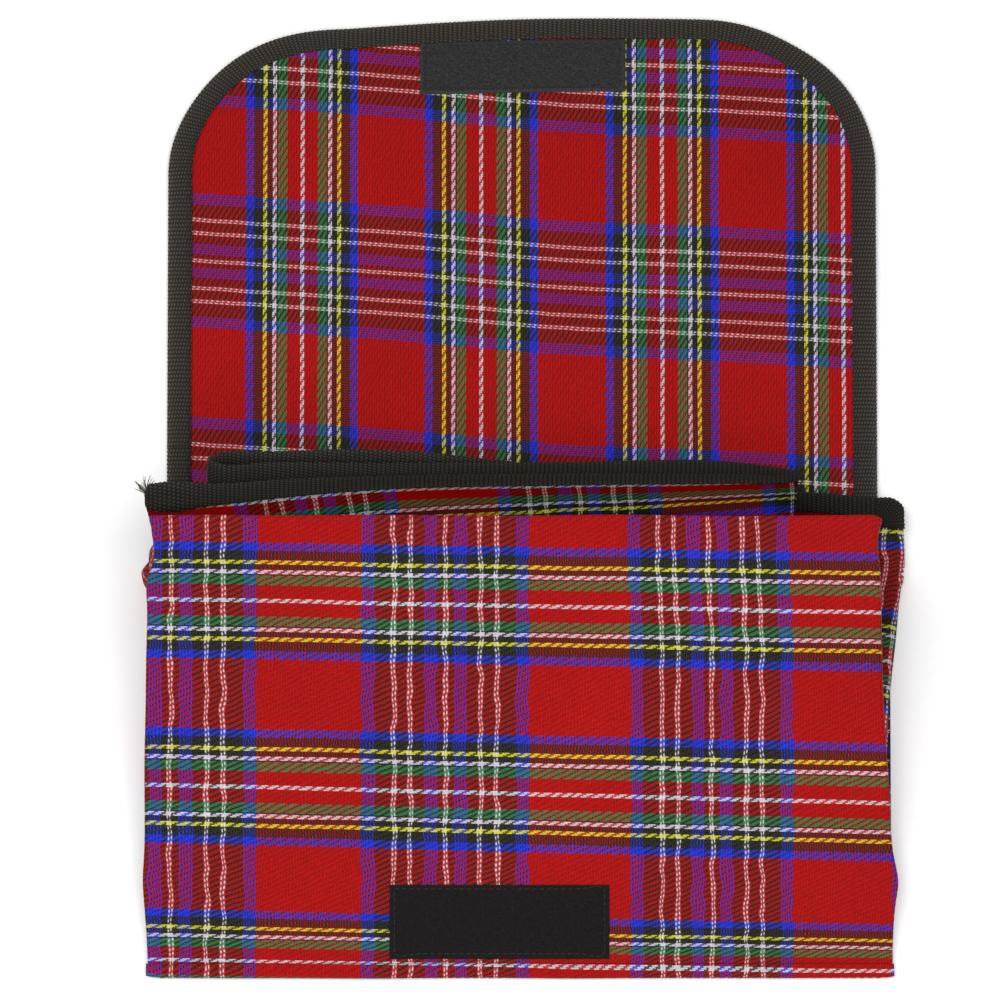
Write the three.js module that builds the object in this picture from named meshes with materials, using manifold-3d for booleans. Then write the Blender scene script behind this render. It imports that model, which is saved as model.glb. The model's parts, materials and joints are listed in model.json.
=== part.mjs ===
// A tartan cloth pouch lying on its back: a wedge-shaped pocket with gusseted sides, three pleats
// of spare cloth with a taped edge in its mouth, and a wide round-cornered flap spread out flat
// behind it. Hook tape on the pocket's front meets loop tape on the flap.
//
// Millimetres, +Z up, +X to the right and +Y from the bottom seam towards the flap's end.
// The origin is the middle of the whole outline, on the surface that the pouch lies on.

import * as THREE from 'three';
import { ConvexGeometry } from 'three/addons/geometries/ConvexGeometry.js';
import { mergeVertices } from 'three/addons/utils/BufferGeometryUtils.js';
import Module from 'manifold-3d';

const wasm = await Module();
wasm.setup();

// ---- Driving dimensions -------------------------------------------------------------------

const GAP = 0.3; // between neighbouring pieces
const CLOTH = 1.0; // one layer of the cloth with its turnings
const TAPE = 10; // width that the folded binding tape shows on each side
const TAPE_THICK = 2.8; // both sides of the tape with the cloth between them
const TAPE_WALL = 0.6; // one side of the tape
const THREAD = 0.6; // sewing thread, as a raised row

const TOTAL_LENGTH = 458; // bottom seam to the flap's end, lying open
const POUCH_WIDTH = 310; // across the pocket
const MOUTH_Y = 232; // fold line between the back and the flap, from the bottom seam
const SEAM_DEPTH = 5; // turned seam along the bottom

const FRONT_SLOPE = 17.5; // degrees that the front rises from the bottom seam
const FRONT_LENGTH = 190; // from its hinge line to the crease at its top
const FRONT_TOP_WIDTH = 303; // across the crease
const FRONT_CROWN = 1; // how far the middle of the front stands proud of a straight line
const HEM_LENGTH = 24; // cloth turned in under the crease
const FRONT_HINGE_Y = 6.6;
const FRONT_HINGE_Z = 2.6;

const FLAP_WIDTH = 296;
const FLAP_CORNER = 72; // radius of the flap's far corners
const FLAP_CROWN = 3; // rise of the far edge in its middle
const SPINE_LENGTH = 40; // part of the flap that folds up behind the mouth
const HINGE_Z = TAPE_THICK / 2;
const PANEL_HINGE_ROOM = 2; // from a fold line to the cloth beside it
const TAPE_HINGE_ROOM = 4.2; // from the mouth's fold line to the tape beside it
const BEND_ROOM = 1.2; // from the flap's second fold line to the cloth and tape beside it

const HOOK_STRIP = { width: 91, height: 30, thick: 1.8, fromCrease: 169 };
const LOOP_STRIP = { width: 86, height: 25, thick: 1.6, offset: 0.8 };
const STITCH_INSET = 2;

const GUSSET_BULGE = 5; // how far the right side wall leans out past the pocket
const SIDE_TIP = 159.6; // half of the whole width

// Edges of the three pleats and of their tape, left end and right end: [x, y, z] from the bottom
// seam. `root` is where the pleat leaves the pocket and `edge` where its cloth meets the tape.
const PLEATS = {
  front: {
    inner: [[-145, 160, 43], [119, 160, 43]],
    root: [[-145, 193.5, 50], [119, 193.5, 54]],
    edge: [[-150, 200, 51.5], [119, 213, 42.5]],
    tape: [[-152, 207.5, 55], [119, 221, 36.5]],
  },
  middle: {
    inner: [[-126, 160, 37], [119, 160, 37]],
    root: [[-126, 195, 43], [119, 195, 46]],
    edge: [[-126, 208, 45], [119, 214.5, 36]],
    tape: [[-127, 217, 42], [119, 224, 31]],
  },
  back: {
    inner: [[-126, 160, 31], [148, 160, 9]],
    root: [[-126, 197, 34], [148, 200, 9]],
    edge: [[-126, 213, 37], [148, 216, 8]],
    tape: [[-127, 223, 35], [152, 226, 6.5]],
  },
};

// ---- Helpers ------------------------------------------------------------------------------

const radians = THREE.MathUtils.degToRad;
const point = ([x, y, z]) => new THREE.Vector3(x, y, z);

function toManifold(geometry) {
  const bare = geometry.clone();
  bare.deleteAttribute('normal');
  bare.deleteAttribute('uv');
  const merged = mergeVertices(bare, 1e-4);
  return new wasm.Manifold(new wasm.Mesh({
    numProp: 3,
    vertProperties: new Float32Array(merged.attributes.position.array),
    triVerts: new Uint32Array(merged.index.array),
  }));
}

function toGeometry(solid) {
  const mesh = solid.getMesh();
  const geometry = new THREE.BufferGeometry();
  geometry.setAttribute('position', new THREE.BufferAttribute(mesh.vertProperties, 3));
  geometry.setIndex(new THREE.BufferAttribute(mesh.triVerts, 1));
  geometry.computeVertexNormals();
  return geometry;
}

function join(...geometries) {
  const solids = geometries.map(toManifold);
  return toGeometry(solids.reduce((sum, solid) => sum.add(solid)));
}

function cut(geometry, ...tools) {
  const start = toManifold(geometry);
  return toGeometry(tools.map(toManifold).reduce((rest, tool) => rest.subtract(tool), start));
}

// A flat layer of cloth or tape between four corners, `thick` thick.
function layer(corners, thick) {
  const [a, b, c, d] = corners.map(point);
  const normal = new THREE.Vector3().crossVectors(
    c.clone().sub(a),
    d.clone().sub(b),
  ).normalize().multiplyScalar(thick / 2);
  const points = [a, b, c, d].flatMap((p) => [p.clone().add(normal), p.clone().sub(normal)]);
  return new ConvexGeometry(points);
}

// A block from low corner to high corner.
function block(low, high) {
  const size = high.map((value, axis) => value - low[axis]);
  const centre = high.map((value, axis) => (value + low[axis]) / 2);
  return new THREE.BoxGeometry(...size).translate(...centre);
}

// An outline in the X-Y plane raised from zLow to zHigh.
function raise(shape, zLow, zHigh, curveSegments = 10) {
  const options = { depth: zHigh - zLow, bevelEnabled: false, curveSegments };
  return new THREE.ExtrudeGeometry(shape, options).translate(0, 0, zLow);
}

// A layer that follows a line of [y, z] points, `thick` thick, from x = left to x = right.
function profileLayer(line, thick, left, right) {
  const points = line.map(([y, z]) => new THREE.Vector2(y, z));
  const offset = (side) => points.map((p, i) => {
    const before = points[Math.max(i - 1, 0)];
    const after = points[Math.min(i + 1, points.length - 1)];
    const along = after.clone().sub(before).normalize();
    return new THREE.Vector2(-along.y, along.x).multiplyScalar(side * thick / 2).add(p);
  });
  const shape = new THREE.Shape([...offset(1), ...offset(-1).reverse()]);
  const solid = new THREE.ExtrudeGeometry(shape, { depth: right - left, bevelEnabled: false });
  // The shape's own x, y and depth become y, z and x.
  solid.applyMatrix4(new THREE.Matrix4().makeBasis(
    new THREE.Vector3(0, 1, 0),
    new THREE.Vector3(0, 0, 1),
    new THREE.Vector3(1, 0, 0),
  ));
  return solid.translate(left, 0, 0);
}

// A row of thread around a rectangle that lies in the X-Y plane, centred on the origin.
function threadFrame(width, height) {
  const shape = new THREE.Shape();
  const half = [width / 2, height / 2];
  shape.moveTo(-half[0], -half[1]).lineTo(half[0], -half[1]);
  shape.lineTo(half[0], half[1]).lineTo(-half[0], half[1]).closePath();
  const hole = new THREE.Path();
  const inner = half.map((value) => value - THREAD);
  hole.moveTo(-inner[0], -inner[1]).lineTo(-inner[0], inner[1]);
  hole.lineTo(inner[0], inner[1]).lineTo(inner[0], -inner[1]).closePath();
  shape.holes.push(hole);
  return raise(shape, 0, THREAD);
}

// The flap's outline beyond its second fold line, drawn `inset` inside the outer edge.
function lidOutline(inset, startY) {
  const side = FLAP_WIDTH / 2 - inset;
  const radius = FLAP_CORNER - inset;
  const farY = TOTAL_LENGTH - FLAP_CROWN - inset;
  const shape = new THREE.Shape();
  shape.moveTo(side, startY).lineTo(side, farY - radius);
  shape.absarc(side - radius, farY - radius, radius, 0, Math.PI / 2, false);
  shape.quadraticCurveTo(0, farY + 2 * FLAP_CROWN, radius - side, farY);
  shape.absarc(radius - side, farY - radius, radius, Math.PI / 2, Math.PI, false);
  shape.lineTo(-side, startY).closePath();
  return shape;
}

// ---- Materials ----------------------------------------------------------------------------

const material = (color, roughness) => new THREE.MeshStandardMaterial({ color, roughness, metalness: 0 });
const TARTAN = () => material(0xb3201c, 0.85);
const WEBBING = () => material(0x2b2926, 0.7);
const HOOK = () => material(0x1b1a1a, 0.9);
const LOOP = () => material(0x333231, 0.95);
const BLACK_THREAD = () => material(0x1f1e1d, 0.6);
const RED_THREAD = () => material(0x9c1f1c, 0.6);

const pouch = new THREE.Group();
// Sizes above run from the bottom seam; the origin is half of the whole length further on.
pouch.position.set(0, -TOTAL_LENGTH / 2, 0);

function add(name, geometry, surface, parent = pouch) {
  const mesh = new THREE.Mesh(geometry, surface);
  mesh.name = name;
  parent.add(mesh);
  return mesh;
}

// ---- Back and bottom seam -----------------------------------------------------------------

const half = POUCH_WIDTH / 2;
const backTop = 1.4;
const backStart = SEAM_DEPTH + GAP;
const backEnd = MOUTH_Y - PANEL_HINGE_ROOM;
add('back_panel', block([-half + 2, backStart, 0], [half - 2, backEnd, backTop]), TARTAN());
add('bottom_seam', block([-half, 0, 0], [half, SEAM_DEPTH, 3]), TARTAN());
add(
  'bottom_seam_stitching',
  block([-half + 3, 2.4, 3 + GAP], [half - 3, 2.4 + THREAD, 3 + GAP + THREAD]),
  RED_THREAD(),
);

// ---- Front --------------------------------------------------------------------------------

const slope = radians(FRONT_SLOPE);

// A point on the front's middle layer, `along` mm up from the hinge line, `out` mm off the layer.
function frontPoint(along, out = 0) {
  const crown = FRONT_CROWN * Math.sin(Math.PI * along / FRONT_LENGTH) + out;
  return [
    FRONT_HINGE_Y + along * Math.cos(slope) - crown * Math.sin(slope),
    FRONT_HINGE_Z + along * Math.sin(slope) + crown * Math.cos(slope),
  ];
}

const hemDrop = CLOTH + 1.4;
const frontLine = [2, 40, 80, 120, 160, FRONT_LENGTH - 1].map((along) => frontPoint(along));
const foldBack = [[0.4, -hemDrop / 2], [-1, -hemDrop]].map(([ahead, down]) =>
  frontPoint(FRONT_LENGTH + ahead, down));
const hemLine = [0.5, 1].map((share) => frontPoint(FRONT_LENGTH - share * HEM_LENGTH, -hemDrop));
const frontSheet = profileLayer([...frontLine, ...foldBack, ...hemLine], CLOTH, -half + 1, half - 1);

// The sides draw in towards the crease.
const drawIn = (POUCH_WIDTH - FRONT_TOP_WIDTH) / 2;
const sideTools = [-1, 1].map((side) => {
  const shape = new THREE.Shape();
  shape.moveTo(side * (half + 20), -10).lineTo(side * (half - 0.5), 5);
  shape.lineTo(side * (half - drawIn), 200).lineTo(side * (half + 20), 220).closePath();
  return raise(shape, -5, 90);
});
add('front_panel', cut(frontSheet, ...sideTools), TARTAN());

// Anything that lies on the front is drawn flat, then turned to its slope and put in its place.
function onFront(name, geometry, surface, fromCrease, lift) {
  const along = FRONT_LENGTH - fromCrease;
  const [y, z] = frontPoint(along, CLOTH / 2 + GAP + lift);
  const lean = Math.cos(Math.PI * along / FRONT_LENGTH) * FRONT_CROWN * Math.PI / FRONT_LENGTH;
  const mesh = add(name, geometry, surface);
  mesh.position.set(0, y, z);
  mesh.rotation.x = slope + Math.atan(lean);
  return mesh;
}

const hookX = -9.4; // the strip sits left of the middle
const hook = onFront(
  'hook_strip',
  new THREE.BoxGeometry(HOOK_STRIP.width, HOOK_STRIP.height, HOOK_STRIP.thick),
  HOOK(),
  HOOK_STRIP.fromCrease,
  HOOK_STRIP.thick / 2 + 0.1,
);
hook.position.x = hookX;
const hookThread = onFront(
  'hook_strip_stitching',
  threadFrame(HOOK_STRIP.width - 2 * STITCH_INSET, HOOK_STRIP.height - 2 * STITCH_INSET),
  BLACK_THREAD(),
  HOOK_STRIP.fromCrease,
  HOOK_STRIP.thick + 0.1 + GAP,
);
hookThread.position.x = hookX;

// Side seams: one row of thread just inside each edge of the front.
for (const [side, name] of [[-1, 'left_seam_stitching'], [1, 'right_seam_stitching']]) {
  const line = [8, 40, 80, 120, 160, 178].map((along) => frontPoint(along, CLOTH / 2 + 2 * GAP + THREAD / 2));
  const edge = half - drawIn - 3;
  const row = profileLayer(line, THREAD, side * edge - THREAD / 2, side * edge + THREAD / 2);
  add(name, row, RED_THREAD());
}

// ---- Side walls ---------------------------------------------------------------------------

// A side wall fills the wedge between back and front, from its foot line to its head line.
function sideWall(footX, bulgeX, headX) {
  const start = 24;
  const end = 186;
  const room = CLOTH / 2 + hemDrop + 1.5;
  const top = (y) => FRONT_HINGE_Z + (y - FRONT_HINGE_Y) * Math.tan(slope) - room;
  const foot = backTop + GAP;
  const middle = (y) => (foot + top(y)) / 2.6;
  const inward = (x, share) => x * (1 - 0.02 * (1 - share));
  const lower = layer([
    [inward(footX, 0), start, foot], [footX, end, foot],
    [bulgeX, end, middle(end)], [inward(bulgeX, 0), start, Math.max(middle(start), foot + 0.4)],
  ], CLOTH);
  const upper = layer([
    [inward(bulgeX, 0), start, Math.max(middle(start), foot + 0.4)], [bulgeX, end, middle(end)],
    [headX, end, top(end)], [inward(headX, 0), start, Math.max(top(start), foot + 1.2)],
  ], CLOTH);
  return join(lower, upper);
}

const floorCut = block([-200, 0, -10], [200, 300, backTop + GAP]);
const tip = layer([
  [-SIDE_TIP, 182, 30], [-150.5, 172, 28], [-150.5, 184, 32], [-SIDE_TIP, 184, 31],
], CLOTH);
const leftWall = join(sideWall(-half + 3, -half + 1.8, -half + 5), tip);
add('left_gusset', cut(leftWall, floorCut, block([-170, 0, 0], [-SIDE_TIP, 300, 90])), TARTAN());
const rightEdge = block([SIDE_TIP, 0, 0], [170, 300, 90]);
const rightWall = sideWall(half - 1, half + GUSSET_BULGE, half - 6);
add('right_gusset', cut(rightWall, floorCut, rightEdge), TARTAN());

// ---- Pleats in the mouth ------------------------------------------------------------------

// Moves b towards a so that a gap stays between the cloth's edge and the tape beside it.
function shortOf(a, b, distance) {
  const from = point(a);
  return point(b).lerp(from, distance / point(b).distanceTo(from)).toArray();
}

for (const [place, { inner, root, edge }] of Object.entries(PLEATS)) {
  const stop = edge.map((corner, end) => shortOf(root[end], corner, GAP + 0.2));
  const inside = layer([inner[0], inner[1], root[1], root[0]], CLOTH);
  const fallen = layer([root[0], root[1], stop[1], stop[0]], CLOTH);
  add(`${place}_pleat`, join(inside, fallen), TARTAN());
}

// One length of tape binds the edge of all three pleats: it runs right along the front pleat,
// turns back along the middle one and right again along the back one.
const tapeRuns = Object.values(PLEATS).map(({ edge, tape }) =>
  layer([edge[0], edge[1], tape[1], tape[0]], 2.2));
const turn = (x, width, a, b) => layer([
  [x, a.edge[1], a.edge[2]], [x, a.tape[1], a.tape[2]],
  [x, b.tape[1], b.tape[2]], [x, b.edge[1], b.edge[2]],
], width);
const ends = (pleat, end) => ({ edge: PLEATS[pleat].edge[end], tape: PLEATS[pleat].tape[end] });
const rightTurn = turn(120, 2.4, ends('front', 1), ends('middle', 1));
const leftTurn = turn(-127.4, 2.4, ends('middle', 0), ends('back', 0));
add('mouth_binding', join(...tapeRuns, rightTurn, leftTurn), WEBBING());

// The same tape carries on around the top of the right side wall.
const cornerTape = join(
  layer([[153.6, 214, 5.2], [158.4, 209, 5.2], [158.4, 222, 5.2], [153.6, 225, 5.2]], 2.4),
  layer([[157.2, 193, 3.2], [157.2, 214, 3.2], [157.2, 214, 6.4], [157.2, 193, 12]], 2.4),
);
add('corner_binding', cut(cornerTape, block([150, 180, -5], [170, 240, 2])), WEBBING());

// Loose threads at the tape's cut end.
const fray = new ConvexGeometry([
  [-153.6, 205, 54], [-153.6, 208, 56], [-153.6, 206, 58], [-158.2, 210, 57], [-157.8, 206, 60],
].map(point));
add('tape_end_threads', fray, WEBBING());

// ---- Flap ---------------------------------------------------------------------------------

const panelLow = HINGE_Z - CLOTH / 2;
const panelHigh = HINGE_Z + CLOTH / 2;
const slotLow = TAPE_WALL;
const slotHigh = TAPE_THICK - TAPE_WALL;
const bendY = MOUTH_Y + SPINE_LENGTH;
const panelInset = 1.2; // the cloth's edge stops short of the fold in the tape
const side = FLAP_WIDTH / 2;

// First part: it folds up behind the mouth.
add(
  'flap_spine',
  block([panelInset - side, MOUTH_Y + PANEL_HINGE_ROOM, panelLow], [side - panelInset, bendY - BEND_ROOM, panelHigh]),
  TARTAN(),
);
for (const [sign, name] of [[-1, 'spine_binding_left'], [1, 'spine_binding_right']]) {
  const outer = sign * side;
  const inner = sign * (side - TAPE);
  const slotEdge = sign * (side - panelInset + GAP);
  const far = bendY - BEND_ROOM;
  const whole = block(
    [Math.min(outer, inner), MOUTH_Y + TAPE_HINGE_ROOM, 0],
    [Math.max(outer, inner), far, TAPE_THICK],
  );
  const slot = block(
    [Math.min(slotEdge, inner - sign), MOUTH_Y, slotLow],
    [Math.max(slotEdge, inner - sign), far + 1, slotHigh],
  );
  add(name, cut(whole, slot), WEBBING());
}

// Second part: it carries on over the front.
const lidStart = bendY + BEND_ROOM;
add('flap_panel', raise(lidOutline(panelInset, lidStart), panelLow, panelHigh), TARTAN());
const tapeRing = cut(
  raise(lidOutline(0, lidStart), 0, TAPE_THICK),
  raise(lidOutline(TAPE, lidStart - 5), -1, TAPE_THICK + 1),
  raise(lidOutline(panelInset - GAP, lidStart - 5), slotLow, slotHigh),
);
add('flap_binding', tapeRing, WEBBING());

// The row that sews the tape down runs close to its inner edge.
const rowInset = TAPE - 1.6;
const threadBase = TAPE_THICK + GAP;
const threadRing = cut(
  raise(lidOutline(rowInset, lidStart + 1), threadBase, threadBase + THREAD),
  raise(lidOutline(rowInset + THREAD, lidStart - 5), threadBase - 1, threadBase + THREAD + 1),
);
add('flap_binding_stitching', threadRing, BLACK_THREAD());

// Loop tape, with its far edge against the binding.
const loopX = 0.4;
const loopFar = TOTAL_LENGTH - TAPE - GAP - LOOP_STRIP.offset;
const loop = block(
  [loopX - LOOP_STRIP.width / 2, loopFar - LOOP_STRIP.height, panelHigh + GAP],
  [loopX + LOOP_STRIP.width / 2, loopFar, panelHigh + GAP + LOOP_STRIP.thick],
);
add('loop_strip', loop, LOOP());
const loopThread = add(
  'loop_strip_stitching',
  threadFrame(LOOP_STRIP.width - 2 * STITCH_INSET, LOOP_STRIP.height - 2 * STITCH_INSET),
  BLACK_THREAD(),
);
loopThread.position.set(
  loopX,
  loopFar - LOOP_STRIP.height / 2,
  panelHigh + 2 * GAP + LOOP_STRIP.thick,
);

export default pouch;
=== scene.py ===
"""Looks of a tartan cloth pouch that lies open on its back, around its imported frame.

Lengths in the named values are millimetres, and y runs from the pouch's bottom seam towards the
end of its flap. at() turns them into a point of the shared frame, in metres. Each cloth piece
carries a UV map that counts millimetres across its two sets of yarns, and the tartan is worked out
yarn by yarn from that map.
"""
import json
import math
import random

import bpy
import numpy as np
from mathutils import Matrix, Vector, noise


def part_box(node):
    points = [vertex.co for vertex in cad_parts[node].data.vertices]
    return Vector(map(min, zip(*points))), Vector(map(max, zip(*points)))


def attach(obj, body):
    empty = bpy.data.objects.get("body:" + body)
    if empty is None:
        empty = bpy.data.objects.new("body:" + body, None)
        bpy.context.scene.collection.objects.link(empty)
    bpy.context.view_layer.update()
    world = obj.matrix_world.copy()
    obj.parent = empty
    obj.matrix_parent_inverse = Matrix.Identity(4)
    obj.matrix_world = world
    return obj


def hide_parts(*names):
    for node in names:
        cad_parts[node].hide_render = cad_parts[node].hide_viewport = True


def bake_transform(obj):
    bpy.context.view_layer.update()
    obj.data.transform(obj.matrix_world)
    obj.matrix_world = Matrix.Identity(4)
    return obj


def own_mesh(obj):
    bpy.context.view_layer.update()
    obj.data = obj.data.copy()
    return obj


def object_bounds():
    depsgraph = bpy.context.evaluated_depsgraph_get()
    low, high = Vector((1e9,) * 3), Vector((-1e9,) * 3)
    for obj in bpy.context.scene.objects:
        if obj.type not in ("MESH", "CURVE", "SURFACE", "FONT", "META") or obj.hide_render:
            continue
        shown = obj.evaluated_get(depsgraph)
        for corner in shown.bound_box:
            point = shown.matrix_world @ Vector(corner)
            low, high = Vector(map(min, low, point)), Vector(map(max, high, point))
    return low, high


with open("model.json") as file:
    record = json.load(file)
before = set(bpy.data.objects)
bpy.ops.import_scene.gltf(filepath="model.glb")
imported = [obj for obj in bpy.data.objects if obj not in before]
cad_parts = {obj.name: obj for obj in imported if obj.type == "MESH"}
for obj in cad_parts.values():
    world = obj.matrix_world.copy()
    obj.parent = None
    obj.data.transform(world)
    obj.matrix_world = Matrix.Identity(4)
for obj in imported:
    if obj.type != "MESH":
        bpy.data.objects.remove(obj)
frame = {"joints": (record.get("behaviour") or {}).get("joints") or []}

bpy.context.view_layer.update()
cad_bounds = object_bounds()

# ---- Driving values ----

MM = 0.001
JOINTS = {joint["name"]: joint for joint in frame["joints"]}
SEAM = cad_bounds[0].y  # metres, where the bottom seam lies
FRONT_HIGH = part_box("front_panel")[1]
HOOK_LOW, HOOK_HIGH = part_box("hook_strip")
LOOP_LOW, LOOP_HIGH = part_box("loop_strip")
TAPE_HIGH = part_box("flap_binding")[1]
BACK_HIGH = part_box("back_panel")[1]


def from_seam(y):
    """A place along the pouch in metres, as millimetres from the bottom seam."""
    return (y - SEAM) / MM


MOUTH_Y = from_seam(JOINTS["flap_fold"]["pos_m"][1])
BEND_Y = from_seam(JOINTS["flap_bend"]["pos_m"][1])
FOLD_Z = JOINTS["flap_fold"]["pos_m"][2] / MM
HINGE_Y = from_seam(JOINTS["front_press"]["pos_m"][1])
HINGE_Z = JOINTS["front_press"]["pos_m"][2] / MM

CLOTH = 0.6  # thickness of one layer
CLOTH_UV = "cloth"
CREASE_ROUND = 1.2  # radius of the cloth's turn at the front's top
HEM = 24  # depth of the cloth turned in at the crease
FRONT_UP = FRONT_HIGH.z / MM - CLOTH - HINGE_Z
FRONT_ALONG = from_seam(FRONT_HIGH.y) - CLOTH - HINGE_Y
FRONT_RISE = math.atan2(FRONT_UP, FRONT_ALONG)
CREASE_SAG = 2.0  # the soft crease lies this much short of the full length
FRONT_LENGTH = math.hypot(FRONT_UP, FRONT_ALONG) - CREASE_SAG
FRONT_SAG = 1.2  # how far the front's lower part hangs under a straight line

FLAP_SIDE = TAPE_HIGH.x / MM
FLAP_FAR = from_seam(TAPE_HIGH.y)
FLAP_CORNER = 72.0  # radius
FLAP_PEAK = (38.0, 0.00043)  # where the far edge stands highest, and how fast it falls away
FULLER_LEFT, FULLER_RIGHT = 6.7, 2.2  # how far the far edge's corners stand above that fall
FLAP_LIFT = 0.8  # the most that the open flap stands off what it lies on
SPLICE_Y = (MOUTH_Y + BEND_Y) / 2  # where two lengths of cloth and tape meet unseen
SEAM_UNDER_TAPE = 1.2  # the flap's cloth stops this far inside the tape's fold

TAPE = 10.0  # width of the folded tape
TAPE_HALF = TAPE_HIGH.z / MM / 2  # half of its thickness
TAPE_WALL = 0.6
MOUTH_TAPE_HALF = 1.05
RIB = 1.9  # from one rib of the tape to the next
RIB_RISE = 0.16
KNOT = 1.25  # from one knot of a rib to the next
KNOT_SLANT = 0.22  # of a knot, from one rib to the next
TAPE_SEAM = 8.4  # from the tape's outer edge to its sewing

# Edges of the front, as [distance down from the crease, x].
FRONT_LEFT = [
    (0, -154.5), (6, -153.1), (19, -153.3), (23, -154.7), (27, -155.5), (38, -155.3),
    (60, -155.7), (80, -155.9), (100, -156.3), (140, -156.3), (154, -156.9), (164, -156.2),
    (176, -155.3), (192, -154.7),
]
FRONT_RIGHT = [
    (0, 149.1), (6, 147.7), (25, 148.5), (52, 148.9), (78, 149.7), (99, 150.9), (112, 151.8),
    (140, 153.3), (154, 155.5), (163, 154.3), (176, 153.3), (192, 153.1),
]

# How the cloth and tape of the mouth run: right along the front pleat, back along the middle one
# and right again along the back one. Each station is x, then (y, z) of the fold where the cloth
# leaves the pocket, of the cloth's edge at the tape, of the tape's outer edge, and z deep inside.
MOUTH = [
    (-156.2, (190.5, 49.6), (197.6, 50.6), (202.6, 54), 43),
    (-155.2, (190.5, 49.6), (195.6, 50.2), (204.6, 55.4), 43),
    (-152, (190.5, 49.6), (194.8, 50.2), (205.2, 55.8), 43),
    (-127, (191.5, 50), (197.4, 50.2), (206.8, 52.4), 43),
    (-97, (192.2, 50.6), (201.6, 49.4), (210.8, 49), 43),
    (-67.5, (193, 51.2), (205.1, 48.2), (213.8, 45.4), 43),
    (15.8, (193.5, 52.8), (208.9, 46), (217.4, 40.9), 43),
    (92, (193.5, 54), (211.4, 43.2), (219.2, 37), 43),
    (109, (193.5, 54), (212.2, 42.2), (219.6, 35.8), 43),
    (114.4, (195, 50), (215.2, 38.4), (222.8, 32.8), 40),
    (109, (197, 45.5), (217.6, 34.6), (225.6, 30.4), 37),
    (92, (197, 45.5), (219, 34.8), (227.8, 31.6), 37),
    (15.8, (196, 45), (216.6, 37.8), (226, 35.6), 37),
    (-67.5, (195, 44), (212.2, 42), (222, 43), 37),
    (-105, (195, 43.4), (210.9, 43.4), (220.5, 46), 37),
    (-126.5, (195, 43), (210.2, 44.4), (219.4, 47.4), 37),
    (-130, (196, 39), (213.4, 41.2), (223, 45.4), 34),
    (-126.5, (197, 34.5), (217, 38.6), (226, 43.6), 31),
    (-105, (197.5, 33), (218.4, 38.2), (226.8, 43.8), 29),
    (-67.5, (198, 30), (220, 37), (227.8, 44), 27),
    (15.8, (199, 20), (218.6, 26.6), (227.9, 28.4), 19),
    (60, (199.5, 14.5), (217.8, 17), (227.8, 18), 15),
    (99, (200, 10.6), (217.6, 10), (227.6, 10.4), 11),
    (124, (200, 8.4), (217.4, 7.6), (227.4, 7.4), 9),
    (148, (200, 7.4), (215.4, 6.8), (225.4, 6.4), 8),
]
MOUTH_DEPTH_Y = 160.0  # how far down the mouth's cloth reaches

# The tape's last turn, round the top of the right side wall: inner and outer edge.
CORNER = [
    ((146, 215.6, 6.8), (147.6, 225.6, 6.4)),
    ((148.2, 215, 6.8), (154.8, 225.2, 6.4)),
    ((149, 214.4, 6.6), (158.6, 222, 6)),
    ((149.2, 213.4, 6.2), (159.2, 215.6, 5.6)),
    ((149.2, 212.4, 5.8), (159.4, 211.6, 5.2)),
]

# ---- The tartan's sett ----

# The lengthwise yarns, counted from the middle of a white line to the middle of the red ground,
# where the count turns back, and the crosswise yarns in the same way.
FINE_PITCH = 0.579
FINE_HALF = 68  # yarns from one turning point of the count to the other
FINE_SETT = [
    (1.5, "white"), (11, "red"), (18.5, "green"), (19.5, "black"), (22.5, "white"), (26, "black"),
    (29, "yellow"), (36, "black"), (42, "blue"), (68, "red"),
]
COARSE_PITCH = 1.133
COARSE_HALF = 50
COARSE_SETT = [
    (1, "white"), (3, "black"), (8, "blue"), (12, "black"), (14, "white"), (18, "black"),
    (20, "white"), (26, "black"), (31, "blue"), (50, "red"),
]
TWILL_REPEAT = 4.0  # yarns
FLOAT_HALF_LENGTH = 1.38  # of a coarse yarn's float, in fine yarns
FLOAT_HALF_WIDTH = 0.28  # in coarse yarns
SHOW_THROUGH = 0.09  # how much of the crossing yarn's colour shows through the upper one
DIMMED = (0.35, 0.35, 0.35, 1)  # the brightest that a yarn shows from below
BOUNCE = 1.7  # how strongly crossing yarns light each other's edges
YARNS = {
    "red": (170, 16, 14),
    "black": (46, 43, 40),
    "white": (204, 199, 205),
    "green": (58, 120, 70),
    "yellow": (206, 206, 48),
    "blue": (42, 56, 190),
}


# ---- Points, curves and meshes ----

def at(x, y, z):
    """A point in the shared frame from millimetres."""
    return Vector((x * MM, SEAM + y * MM, z * MM))


def ease(value, low, high):
    """0 below low, 1 above high, and a smooth step between."""
    t = min(max((value - low) / (high - low), 0), 1)
    return t * t * (3 - 2 * t)


def ripple(x, y, size, seed):
    """Smooth irregular waves between about -1 and 1, `size` millimetres across."""
    return noise.noise(Vector((x / size, y / size, seed))) * 1.6


def curve(points, knots, wanted):
    """A smooth curve through rows of numbers, one at each knot, read at the wanted knots."""
    points, knots, wanted = (np.asarray(values, float) for values in (points, knots, wanted))
    slopes = np.gradient(points, knots, axis=0)
    i = np.clip(np.searchsorted(knots, wanted, side="right") - 1, 0, len(knots) - 2)
    step = knots[i + 1] - knots[i]
    t = ((wanted - knots[i]) / step)[:, None]
    step = step[:, None]
    start = (2 * t**3 - 3 * t**2 + 1) * points[i] + (t**3 - 2 * t**2 + t) * step * slopes[i]
    end = (3 * t**2 - 2 * t**3) * points[i + 1] + (t**3 - t**2) * step * slopes[i + 1]
    return start + end


def distances(points):
    """How far along a line of points each of them is."""
    steps = np.linalg.norm(np.diff(points, axis=0), axis=1)
    return np.concatenate([[0], np.cumsum(steps)])


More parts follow.
